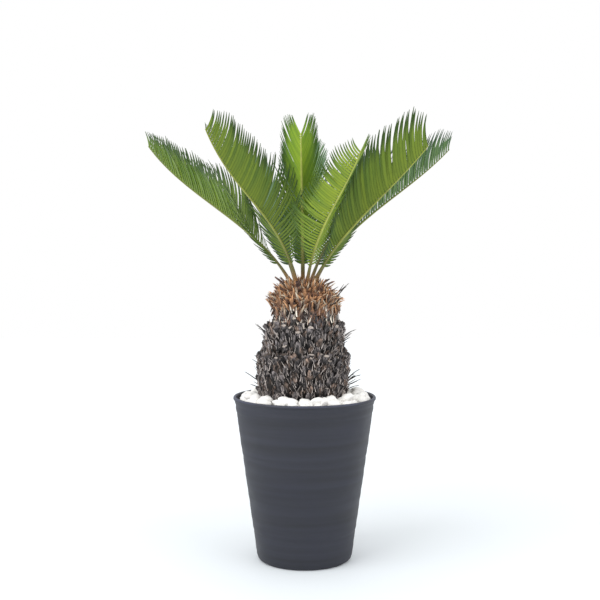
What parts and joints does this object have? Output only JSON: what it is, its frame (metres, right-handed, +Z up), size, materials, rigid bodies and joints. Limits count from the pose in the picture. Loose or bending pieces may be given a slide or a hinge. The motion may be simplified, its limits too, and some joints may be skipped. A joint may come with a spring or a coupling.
{
  "type": "potted sago palm",
  "caption": "Sago palm with a short scaly trunk and a crown of feather-shaped fronds, in a tapered grey pot topped with white pebbles.",
  "frame": {"origin": "centre of the pot's flat underside, on the floor", "axes": "+Z up, -Y towards the front, +X to the right as seen from the front"},
  "size_m": [0.5397, 0.4839, 0.7694],
  "materials": {
    "pot": "matte charcoal grey with faint turned rings",
    "soil": "damp dark potting soil",
    "pebbles": "smooth white stones",
    "bark": "dark grey-brown stumps of old fronds",
    "bud": "rust-brown woolly scales with pale tips",
    "foliage": "waxy yellow-green to deep green leaflets"
  },
  "bodies": {
    "root": {"pot": "pot", "soil": "soil", "pebbles": "pebbles", "trunk": "bark", "bud": "bud", "frond_front": "foliage", "frond_front_right": "foliage", "frond_front_left": "foliage", "frond_right_front": "foliage", "frond_right": "foliage", "frond_left": "foliage", "frond_back_left": "foliage", "frond_back": "foliage", "frond_back_right": "foliage"}
  },
  "joints": []
}
